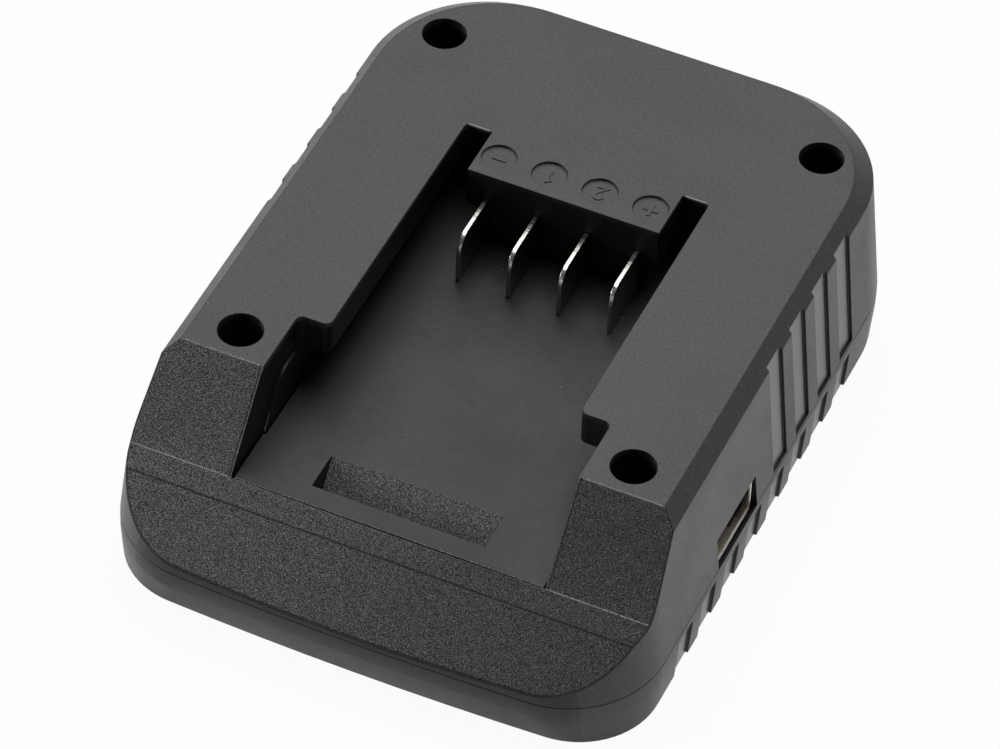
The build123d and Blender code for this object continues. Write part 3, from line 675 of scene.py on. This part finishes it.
# ------------------------------------------------------------------ finishes of the metal parts
def plated_finish(name, colour, dull, roughness, stretch, lines_per_metre, depth_mm, shaded_sides=None,
                  sunk_shade_zs=None):
    """Plated metal with drawn lines and duller patches, perhaps with painted shade on the flat sides or in
    a band of heights.
    """
    material, w, surface, place = start_material(name)
    lines = w.group(LINES, Vector=place, Stretch=stretch, Lines_per_metre=lines_per_metre)
    marks = w.group(HANDLING, Vector=place)
    tint = w.blend(w.math("MULTIPLY", lines["Shade"], 0.6), colour, dull)
    tint = w.blend(w.math("MULTIPLY", marks["Smudge"], 0.35), tint, dull)
    # Painted shade: the flat sides get a darker colour
    if shaded_sides:
        sides = w.ramp(w.absolute(facing(w)[0]), 0.9, 0.97)
        tint = w.blend(sides, tint, w.shade(shaded_sides, w.spread(marks["Smudge"], 1.15, 0.85)))
    # Painted shade in a band of heights, low in the sunk crosses of the screws
    if sunk_shade_zs:
        sunk_shade = w.band(w.parts(place)[2], *sunk_shade_zs, 0.1)
        tint = w.shade(tint, w.spread(sunk_shade, 1.0, 0.16))
    rough = w.spread(lines["Shade"], roughness - 0.06, roughness + 0.1)
    coat(w, surface, tint, rough, lines["Height"], depth_mm, strength=0.6)
    surface["Metallic"].default_value = 1.0
    return material


def shell_finish():
    """Nickel shell of the socket, with a painted highlight on the rim and, inside its rear half, a dark
    colour for the dark insulator and painted shade.
    """
    material, w, surface, place = start_material("shell_nickel_plate")
    x, y, _ = w.parts(place)
    lines = w.group(LINES, Vector=place, Stretch=(0.05, 1.0, 1.0), Lines_per_metre=3800.0)
    marks = w.group(HANDLING, Vector=place)
    tint = w.blend(w.math("MULTIPLY", lines["Shade"], 0.4), (0.66, 0.6, 0.53, 1.0), (0.5, 0.45, 0.39, 1.0))
    tint = w.blend(w.math("MULTIPLY", marks["Smudge"], 0.3), tint, (0.42, 0.38, 0.33, 1.0))
    # Dark insulator inside the shell, together with painted shade there
    moulding = w.all_of(w.fall(x, SHELL_MOUTH_X - 1.2, SHELL_MOUTH_X - 1.0),
                        w.rise(y, USB_Y + 1.6, USB_Y + 1.8))
    tint = w.blend(moulding, tint, (0.03, 0.026, 0.022, 1.0))
    # Painted highlight along the rim at the mouth
    rim = w.rise(x, SHELL_MOUTH_X - 0.36, SHELL_MOUTH_X - 0.28)
    tint = w.blend(rim, tint, (0.97, 0.95, 0.91, 1.0))
    rough = w.blend_value(rim, w.spread(lines["Shade"], 0.26, 0.36), 0.6)
    coat(w, surface, tint, rough, lines["Height"], depth_mm=0.001, strength=0.5)
    w.feed(surface["Metallic"], w.spread(moulding, 1.0, 0.0))
    return material


# ------------------------------------------------------------------ making of the pieces
SHARP_ANGLE = 28.0     # degrees
FLAT_ANGLE = 0.5       # degrees
FLAT_WEIGHT = 90
LEDGE_CORNERS = 12
NOSE_MARGIN = 1.1


def new_piece(name, bm):
    """Object with the mesh that was worked on, which is closed after this."""
    mesh = bpy.data.meshes.new(name)
    bm.to_mesh(mesh)
    bm.free()
    piece = bpy.data.objects.new(name, mesh)
    bpy.context.scene.collection.objects.link(piece)
    return piece


def finish_piece(piece, material, replaced=()):
    piece.data.materials.clear()
    piece.data.materials.append(material)
    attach(piece, BODY)
    if replaced:
        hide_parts(*replaced)


def score(bm, axis, place_mm):
    """Cut all faces along one plane and mark the cut, so that no merged face goes round a hole."""
    spot, normal = Vector((0.0, 0.0, 0.0)), Vector((0.0, 0.0, 0.0))
    spot[axis], normal[axis] = place_mm * MM, 1.0
    cut = bmesh.ops.bisect_plane(bm, geom=bm.verts[:] + bm.edges[:] + bm.faces[:], dist=1e-7,
                                 plane_co=spot, plane_no=normal)
    for item in cut["geom_cut"]:
        if isinstance(item, bmesh.types.BMEdge):
            item.seam = True


def merged_copy(node, scores):
    """Copy of a CAD part with its triangles merged into flat faces, but not across the scores."""
    bm = bmesh.new()
    bm.from_mesh(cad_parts[node].data)
    bmesh.ops.remove_doubles(bm, verts=bm.verts, dist=WELD_GAP * MM)
    for axis, place_mm in scores:
        score(bm, axis, place_mm)
    bmesh.ops.dissolve_limit(bm, angle_limit=math.radians(FLAT_ANGLE), verts=bm.verts, edges=bm.edges,
                             delimit={"NORMAL", "SEAM"})
    return bm


def break_edges(bm, edges, radius_mm, segments):
    bmesh.ops.bevel(bm, geom=edges, offset=radius_mm * MM, offset_type="OFFSET", segments=segments,
                    profile=0.5, affect="EDGES", clamp_overlap=False)


def is_ledge(face, width):
    """True for a many-cornered ledge that is too narrow for rounded edges."""
    return len(face.verts) > LEDGE_CORNERS and 2 * face.calc_area() < width * face.calc_perimeter()


def round_nose(bm, radius_mm):
    """Round the two corners of a blade's nose, seen from the side."""
    low = min(v.co.y for v in bm.verts) + NOSE_RUN * NOSE_MARGIN * MM
    high = max(v.co.z for v in bm.verts) - NOSE_DROP * NOSE_MARGIN * MM
    nose = [e for e in bm.edges if abs(e.verts[0].co.x - e.verts[1].co.x) > 0.5 * MM
            and max(v.co.y for v in e.verts) < low and min(v.co.z for v in e.verts) > high]
    break_edges(bm, nose, radius_mm, 5)


def rounded_part(node, edge_mm, scores=(), segments=2, nose_mm=None):
    """Copy of a CAD part whose sharp edges are broken with a small radius."""
    bm = merged_copy(node, scores)
    if nose_mm:
        round_nose(bm, nose_mm)
    limit = math.radians(SHARP_ANGLE)
    ledges = {f for f in bm.faces if is_ledge(f, 2 * edge_mm * MM)}
    sharp = [e for e in bm.edges if len(e.link_faces) == 2 and e.calc_face_angle(0.0) > limit
             and ledges.isdisjoint(e.link_faces)]
    break_edges(bm, sharp, edge_mm, segments)
    for face in bm.faces:
        face.smooth = True
    piece = new_piece(node + "_moulding", bm)
    weighted = piece.modifiers.new("flat_faces", "WEIGHTED_NORMAL")
    weighted.weight = FLAT_WEIGHT
    return piece


def head_faces(bm, centre, head_z, look):
    """Faces on the flat of one screw head; look is 1 for a head that faces up, -1 for down."""
    return [f for f in bm.faces if f.normal.z * look > 0.99
            and abs(f.calc_center_median().z - head_z * MM) < 0.02 * MM
            and (f.calc_center_median().xy - centre).length < WIDEST_HEAD * MM]


def sink_cross(bm, centre, head_z, look):
    """Break the rim of one screw head and sink a cross into its flat."""
    flat = head_faces(bm, centre, head_z, look)
    inner = set(flat)
    rim = [e for e in {e for f in flat for e in f.edges} if not inner.issuperset(e.link_faces)]
    break_edges(bm, rim, HEAD_RIM, 3)
    for across in (Vector((1.0, 0.0, 0.0)), Vector((0.0, 1.0, 0.0))):
        for off in (-CROSS_ARM, -CROSS_HALF, CROSS_HALF, CROSS_ARM):
            faces = head_faces(bm, centre, head_z, look)
            parts = faces + list({e for f in faces for e in f.edges}) \
                + list({v for f in faces for v in f.verts})
            bmesh.ops.bisect_plane(bm, geom=parts, dist=1e-8, plane_no=across,
                                   plane_co=Vector((*centre, 0.0)) + across * off * MM)
    cross = []
    for face in head_faces(bm, centre, head_z, look):
        off = sorted(abs(v) for v in face.calc_center_median().xy - centre)
        if off[0] < CROSS_HALF * MM and off[1] < CROSS_ARM * MM:
            cross.append(face)
    sunk = bmesh.ops.extrude_face_region(bm, geom=cross)["geom"]
    bmesh.ops.translate(bm, verts=[v for v in sunk if isinstance(v, bmesh.types.BMVert)],
                        vec=(0.0, 0.0, -CROSS_DEPTH * look * MM))
    left = [f for f in cross if f.is_valid]
    if left:
        bmesh.ops.delete(bm, geom=left, context="FACES")


def cross_head_screws(node, centres, head_z, look, material):
    """Screws of one node with rounded heads and a sunk cross in each."""
    bm = merged_copy(node, [(1, y) for y in sorted({spot[1] for spot in centres})])
    for spot in centres:
        sink_cross(bm, Vector(spot) * MM, head_z, look)
    bmesh.ops.recalc_face_normals(bm, faces=bm.faces)
    finish_piece(new_piece(node + "_crossed", bm), material, (node,))


def ribbon(points, half_width):
    """Outline of an open line of the given half width, with shortened mitres."""
    spots = [Vector(p) for p in points]
    steps = [(b - a).normalized() for a, b in zip(spots, spots[1:])]
    left, right = [], []
    for i, spot in enumerate(spots):
        before, after = steps[max(i - 1, 0)], steps[min(i, len(steps) - 1)]
        heading = (before + after).normalized()
        across = Vector((-heading.y, heading.x))
        reach = half_width * min(1.0 / max(heading.dot(after), 0.1), 1.5)
        left.append(spot + across * reach)
        right.append(spot - across * reach)
    return left + right[::-1]


def add_plate(bm, first, second):
    """Plate between two rings of corners, given in mm, that match one by one."""
    low, high = ([bm.verts.new([v * MM for v in corner]) for corner in ring] for ring in (first, second))
    bm.faces.new(high)
    bm.faces.new(low[::-1])
    for i in range(len(low)):
        j = (i + 1) % len(low)
        bm.faces.new((low[i], low[j], high[j], high[i]))


def pole_signs(material):
    """Minus, 1, 2 and plus in the dimples over the blades, read from the back."""
    half, arm = 0.24, 1.2
    bowl_radius, bowl_y = 0.68, -0.55
    bowl = [(-bowl_radius * math.cos(t), bowl_y - bowl_radius * math.sin(t))
            for t in (math.radians(a) for a in range(165, -46, -15))]
    plus = [(-arm, -half), (-half, -half), (-half, -arm), (half, -arm), (half, -half), (arm, -half),
            (arm, half), (half, half), (half, arm), (-half, arm), (-half, half), (-arm, half)]
    signs = (
        ribbon([(-1.1, 0.0), (1.1, 0.0)], half),
        ribbon([(0.65, -0.65), (0.0, -1.2), (0.0, 1.25)], half),
        ribbon(bowl + [(0.75, 1.15), (-0.8, 1.15)], half),
        plus,
    )
    bm = bmesh.new()
    for blade_x, outline in zip(BLADE_XS, signs):
        add_plate(bm, *([(blade_x + x, DIMPLE_Y + y, z) for x, y in outline]
                        for z in (DIMPLE_FLOOR_Z - SIGN_SUNK, DIMPLE_FLOOR_Z + SIGN_RISE)))
    bmesh.ops.recalc_face_normals(bm, faces=bm.faces)
    finish_piece(new_piece("pole_signs", bm), material)


def socket_sill(material):
    """Thin lip of the lower cover that closes the side wall below the socket, up to the joint."""
    low_z, flute_top_z = USB_OPENING_ZS[0] - SILL_LAP, USB_OPENING_ZS[0] + SILL_LAP
    reach = USB_HALF_OPENING + SILL_SIDE_LAP
    front_y, rear_y = USB_Y - reach, USB_Y + reach
    outline = [(front_y, PARTING_Z), (front_y, low_z)]
    for i in reversed(range(LOWER_FLUTES)):
        flute_rear = LOWER_FLUTE_Y - FLUTE_PITCH * i
        start, end = (min(max(y, front_y), rear_y) for y in (flute_rear - FLUTE_LENGTH, flute_rear))
        if end - start > 0.1:
            outline += [(start, low_z), (start, flute_top_z), (end, flute_top_z), (end, low_z)]
    outline += [(rear_y, low_z), (rear_y, PARTING_Z)]
    outline = [p for i, p in enumerate(outline) if i == 0 or p != outline[i - 1]]
    bm = bmesh.new()
    add_plate(bm, *([(x, y, z) for y, z in outline]
                    for x in (HALF_WIDTH - SILL_THICKNESS, HALF_WIDTH - SILL_INSET)))
    bmesh.ops.recalc_face_normals(bm, faces=bm.faces)
    finish_piece(new_piece("socket_sill", bm), material)


# ------------------------------------------------------------------ studio (metres)
FLOOR_SIZE = 8.0
FLOOR_Z = -0.0001
FLOOR_WHITE = 0.95


def lay_floor():
    """Pale floor that shows white to the camera, keeps the shadow and is clear from below."""
    bpy.ops.mesh.primitive_plane_add(size=FLOOR_SIZE, location=(0.0, 0.0, FLOOR_Z))
    floor = bpy.context.object
    floor.name = "studio_floor"
    material = bpy.data.materials.new("studio_floor")
    material.use_nodes = True
    w = Wiring(material.node_tree)
    surface = material.node_tree.nodes["Principled BSDF"]
    surface.inputs["Base Color"].default_value = (0.9, 0.9, 0.9, 1.0)
    surface.inputs["Roughness"].default_value = 0.8
    surface.inputs["Specular IOR Level"].default_value = 0.1
    glow = w.add("ShaderNodeEmission")
    glow.inputs["Color"].default_value = (1.0, 1.0, 1.0, 1.0)
    path = w.add("ShaderNodeLightPath").outputs
    seen = w.any_of(path["Is Camera Ray"], path["Is Glossy Ray"], path["Is Transmission Ray"])
    lit = w.add("ShaderNodeMixShader")
    w.feed(lit.inputs[0], w.math("MULTIPLY", seen, FLOOR_WHITE))
    w.feed(lit.inputs[1], surface.outputs[0])
    w.feed(lit.inputs[2], glow.outputs[0])
    one_sided = w.add("ShaderNodeMixShader")
    w.feed(one_sided.inputs[0], w.add("ShaderNodeNewGeometry").outputs["Backfacing"])
    w.feed(one_sided.inputs[1], lit.outputs[0])
    w.feed(one_sided.inputs[2], w.add("ShaderNodeBsdfTransparent").outputs[0])
    w.feed(material.node_tree.nodes["Material Output"].inputs["Surface"], one_sided.outputs[0])
    floor.data.materials.append(material)


def light_studio():
    world = bpy.data.worlds.new("studio")
    world.use_nodes = True
    background = world.node_tree.nodes["Background"]
    background.inputs["Color"].default_value = (0.96, 0.98, 1.0, 1.0)
    background.inputs["Strength"].default_value = 0.07
    bpy.context.scene.world = world
    for name, place, wide, tall, power in (
            ("back_softbox", (-0.32, 0.78, 0.86), 1.0, 0.8, 3.6),
            ("overhead_softbox", (0.0, 0.38, 1.35), 1.2, 0.9, 12.0),
            ("left_fill", (-0.55, -0.32, 0.22), 0.4, 0.25, 1.3)):
        light = bpy.data.lights.new(name, "AREA")
        light.shape = "RECTANGLE"
        light.size = wide
        light.size_y = tall
        light.energy = power
        lamp = bpy.data.objects.new(name, light)
        lamp.location = place
        lamp.rotation_euler = (-Vector(place)).to_track_quat("-Z", "Y").to_euler()
        lamp.visible_camera = False
        bpy.context.scene.collection.objects.link(lamp)


# ------------------------------------------------------------------ dressing of the charger
def dress_inner_parts():
    """Finishes for the parts that keep their CAD mesh."""
    can = plated_finish("can_aluminium_skin", (0.78, 0.78, 0.79, 1.0), (0.55, 0.55, 0.56, 1.0), 0.3,
                        stretch=(1.0, 1.0, 0.08), lines_per_metre=3000.0, depth_mm=0.01)
    chip = plain_finish("chip_epoxy_black", (0.02, 0.02, 0.021, 1.0), 0.5)
    finishes = {
        "contact_carrier": plain_finish("carrier_black", (0.03, 0.03, 0.031, 1.0), 0.48),
        "circuit_board": board_finish(),
        "usb_tongue": plain_finish("tongue_white", (0.78, 0.77, 0.73, 1.0), 0.4, 0.03, 0.4),
        "usb_contacts": plated_finish(
            "contact_gold_plate", (0.85, 0.6, 0.24, 1.0), (0.6, 0.4, 0.15, 1.0), 0.22,
            stretch=(0.05, 1.0, 1.0), lines_per_metre=4000.0, depth_mm=0.01),
        "inductor_core": plain_finish("core_ferrite", (0.045, 0.044, 0.043, 1.0), 0.62),
        "inductor_winding": plated_finish(
            "winding_copper", (0.72, 0.3, 0.13, 1.0), (0.42, 0.16, 0.07, 1.0), 0.3,
            stretch=(1.0, 1.0, 1.0), lines_per_metre=2500.0, depth_mm=0.02),
        "input_capacitor": can,
        "output_capacitor": can,
        "fuse": fuse_finish(),
        "converter_chip": chip,
        "port_chip": chip,
        "catch_diode": chip,
        "board_passives": plain_finish("passive_brown", (0.35, 0.24, 0.14, 1.0), 0.5),
    }
    for node, material in finishes.items():
        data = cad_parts[node].data
        data.materials.clear()
        data.materials.append(material)


def dress_mouldings(top, base):
    """The covers, the floor and the socket's shell with broken edges, scored where they have holes."""
    board_ys = sorted(y for _, y in BOARD_SPOTS)
    for node, material, slot, edge_mm, score_ys in (
            ("top_cover", top, "housing_top", COVER_EDGE, (*WELL_YS, TAB_Y, DIMPLE_Y)),
            ("bottom_cover", base, "housing_base", COVER_EDGE, (*WELL_YS, *board_ys)),
            ("dock_floor", dock_floor_finish(), "floor_plastic", DOCK_EDGE, (TAB_Y, PEG_Y)),
            ("usb_shell", shell_finish(), "shell_nickel", SHELL_EDGE, (USB_Y,))):
        scores = [(1, y) for y in score_ys] + [(0, 0.0)]
        finish_piece(rounded_part(node, edge_mm, scores), material, (node,))


def dress_blades():
    nickel = plated_finish("blade_nickel_plate", (0.93, 0.91, 0.87, 1.0), (0.66, 0.64, 0.6, 1.0), 0.28,
                           stretch=(0.05, 1.0, 0.03), lines_per_metre=4200.0, depth_mm=0.0004,
                           shaded_sides=(0.2, 0.195, 0.185, 1.0))
    for node in ("blade_negative", "blade_signal_a", "blade_signal_b", "blade_positive"):
        piece = rounded_part(node, BLADE_EDGE, segments=3, nose_mm=BLADE_NOSE_RADIUS)
        finish_piece(piece, nickel, (node,))


def dress_screws():
    steel = plated_finish("screw_zinc", (0.34, 0.34, 0.36, 1.0), (0.26, 0.26, 0.27, 1.0), 0.36,
                          stretch=(1.0, 1.0, 0.3), lines_per_metre=4500.0, depth_mm=0.006,
                          sunk_shade_zs=CROSS_SHADE_ZS)
    wells = [(x, y) for x in (-WELL_X, WELL_X) for y in WELL_YS]
    cross_head_screws("housing_screws", wells, HOUSING_HEAD_Z, 1, steel)
    cross_head_screws("board_screws", BOARD_SPOTS, BOARD_HEAD_Z, 1, steel)
    cross_head_screws("floor_screws", [(-TAB_X, TAB_Y), (TAB_X, TAB_Y)], FLOOR_HEAD_Z, -1, steel)


place_camera()
lay_floor()
light_studio()
top_satin = housing_top_finish()
base_satin = housing_base_finish()
dress_inner_parts()
dress_mouldings(top_satin, base_satin)
dress_blades()
dress_screws()
pole_signs(top_satin)
socket_sill(base_satin)
bpy.context.scene.view_settings.view_transform = "Standard"
